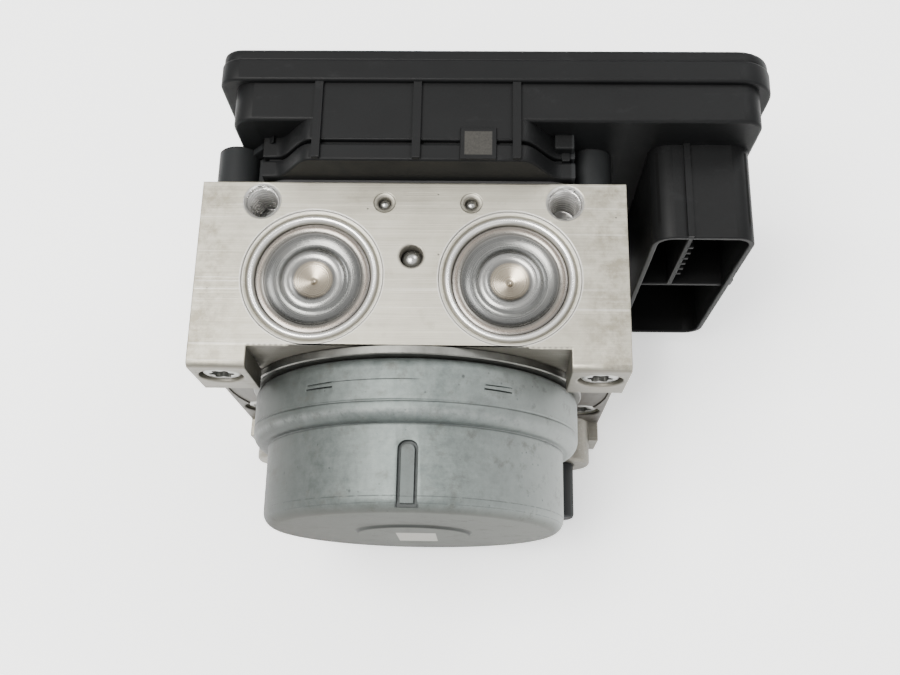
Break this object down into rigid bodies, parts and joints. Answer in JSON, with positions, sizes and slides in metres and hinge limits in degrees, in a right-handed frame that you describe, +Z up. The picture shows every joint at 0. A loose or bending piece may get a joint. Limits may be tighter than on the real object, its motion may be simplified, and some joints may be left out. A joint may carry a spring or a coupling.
{
  "type": "abs brake module",
  "caption": "Anti-lock brake module: aluminium valve block with accumulators and brake ports, round pump motor in front and black electronic controller with a plug socket behind",
  "frame": {"origin": "centre of the valve block's flat underside, below the pump axis", "axes": "+Z up with the accumulators on top, +Y from the motor to the controller, +X towards the plug socket"},
  "size_m": [0.1343, 0.1062, 0.0988],
  "materials": {
    "block_aluminium": "fine machined, satin",
    "can_steel": "zinc plated, mottled",
    "flange_steel": "zinc plated",
    "cap_steel": "pressed, passivated",
    "black_plastic": "satin moulded, glass filled",
    "plug_plastic": "soft moulded",
    "brush_holder_plastic": "moulded phenolic",
    "sleeve_plastic": "moulded",
    "board_green": "solder mask",
    "component_black": "moulded epoxy",
    "copper": "enamelled copper wire",
    "contact_metal": "tinned brass",
    "bronze": "sintered bronze",
    "magnet_ferrite": "ground ferrite",
    "carbon": "pressed carbon",
    "seal_rubber": "moulded",
    "piston_aluminium": "turned",
    "screw_steel": "zinc plated",
    "steel": "ground"
  },
  "bodies": {
    "module": {"accumulator_cap_left": "cap_steel", "accumulator_cap_right": "cap_steel", "accumulator_spring_left": "steel", "accumulator_spring_right": "steel", "bearing_outer_ring": "steel", "board_components": "component_black", "brush_plate": "brush_holder_plastic", "brushes": "carbon", "circuit_board": "board_green", "closing_balls": "steel", "coil_yokes": "steel", "coils": "copper", "connector_pins": "contact_metal", "contact_sleeve": "sleeve_plastic", "controller_housing": "black_plastic", "controller_lid": "black_plastic", "fixing_screws": "screw_steel", "front_bush": "bronze", "housing_gasket": "seal_rubber", "magnets": "magnet_ferrite", "motor_can": "can_steel", "motor_contacts": "contact_metal", "motor_flange": "flange_steel", "port_plug_left": "plug_plastic", "port_plug_right": "plug_plastic", "pump_plugs": "steel", "pump_seal_left": "seal_rubber", "pump_seal_right": "seal_rubber", "pump_spring_left": "steel", "pump_spring_right": "steel", "valve_block": "block_aluminium", "valve_cartridges": "steel"},
    "rotor": {"armature_core": "steel", "armature_winding": "copper", "commutator": "copper", "motor_shaft": "steel", "bearing_inner_ring": "steel", "eccentric_bearing": "steel"},
    "bearing_ball_set": {"bearing_balls": "steel"},
    "pump_piston_left_body": {"pump_piston_left": "steel"},
    "pump_piston_right_body": {"pump_piston_right": "steel"},
    "accumulator_piston_left_body": {"accumulator_piston_left": "piston_aluminium", "accumulator_seal_left": "seal_rubber"},
    "accumulator_piston_right_body": {"accumulator_piston_right": "piston_aluminium", "accumulator_seal_right": "seal_rubber"},
    "plunger_1": {"valve_plunger_1": "steel"},
    "plunger_2": {"valve_plunger_2": "steel"},
    "plunger_3": {"valve_plunger_3": "steel"},
    "plunger_4": {"valve_plunger_4": "steel"},
    "plunger_5": {"valve_plunger_5": "steel"},
    "plunger_6": {"valve_plunger_6": "steel"},
    "plunger_7": {"valve_plunger_7": "steel"},
    "plunger_8": {"valve_plunger_8": "steel"}
  },
  "joints": [
    {"name": "rotor_spin", "type": "hinge", "parent": "module", "child": "rotor", "pos_m": [0, 0, 0.046], "axis": [0, 1, 0], "continuous": true},
    {"name": "bearing_ball_spin", "type": "hinge", "parent": "module", "child": "bearing_ball_set", "pos_m": [0, 0, 0.046], "axis": [0, 1, 0], "continuous": true},
    {"name": "pump_piston_left_slide", "type": "slide", "parent": "module", "child": "pump_piston_left_body", "axis": [1, 0, 0], "range_m": [0, 0.0012], "deforming": ["pump_spring_left"]},
    {"name": "pump_piston_right_slide", "type": "slide", "parent": "module", "child": "pump_piston_right_body", "axis": [-1, 0, 0], "range_m": [0, 0.0012], "deforming": ["pump_spring_right"]},
    {"name": "accumulator_piston_left_slide", "type": "slide", "parent": "module", "child": "accumulator_piston_left_body", "axis": [0, 0, 1], "range_m": [0, 0.008], "stiffness_N_per_m": 2000, "deforming": ["accumulator_spring_left"]},
    {"name": "accumulator_piston_right_slide", "type": "slide", "parent": "module", "child": "accumulator_piston_right_body", "axis": [0, 0, 1], "range_m": [0, 0.008], "stiffness_N_per_m": 2000, "deforming": ["accumulator_spring_right"]},
    {"name": "valve_plunger_1_slide", "type": "slide", "parent": "module", "child": "plunger_1", "axis": [0, 1, 0], "range_m": [0, 0.0003], "stiffness_N_per_m": 900},
    {"name": "valve_plunger_2_slide", "type": "slide", "parent": "module", "child": "plunger_2", "axis": [0, 1, 0], "range_m": [0, 0.0003], "stiffness_N_per_m": 900},
    {"name": "valve_plunger_3_slide", "type": "slide", "parent": "module", "child": "plunger_3", "axis": [0, 1, 0], "range_m": [0, 0.0003], "stiffness_N_per_m": 900},
    {"name": "valve_plunger_4_slide", "type": "slide", "parent": "module", "child": "plunger_4", "axis": [0, 1, 0], "range_m": [0, 0.0003], "stiffness_N_per_m": 900},
    {"name": "valve_plunger_5_slide", "type": "slide", "parent": "module", "child": "plunger_5", "axis": [0, -1, 0], "range_m": [0, 0.0003], "stiffness_N_per_m": 900},
    {"name": "valve_plunger_6_slide", "type": "slide", "parent": "module", "child": "plunger_6", "axis": [0, -1, 0], "range_m": [0, 0.0003], "stiffness_N_per_m": 900},
    {"name": "valve_plunger_7_slide", "type": "slide", "parent": "module", "child": "plunger_7", "axis": [0, -1, 0], "range_m": [0, 0.0003], "stiffness_N_per_m": 900},
    {"name": "valve_plunger_8_slide", "type": "slide", "parent": "module", "child": "plunger_8", "axis": [0, -1, 0], "range_m": [0, 0.0003], "stiffness_N_per_m": 900}
  ],
  "couplings": [
    {"joint": "bearing_ball_spin", "follows": "rotor_spin", "ratio": 0.4}
  ]
}
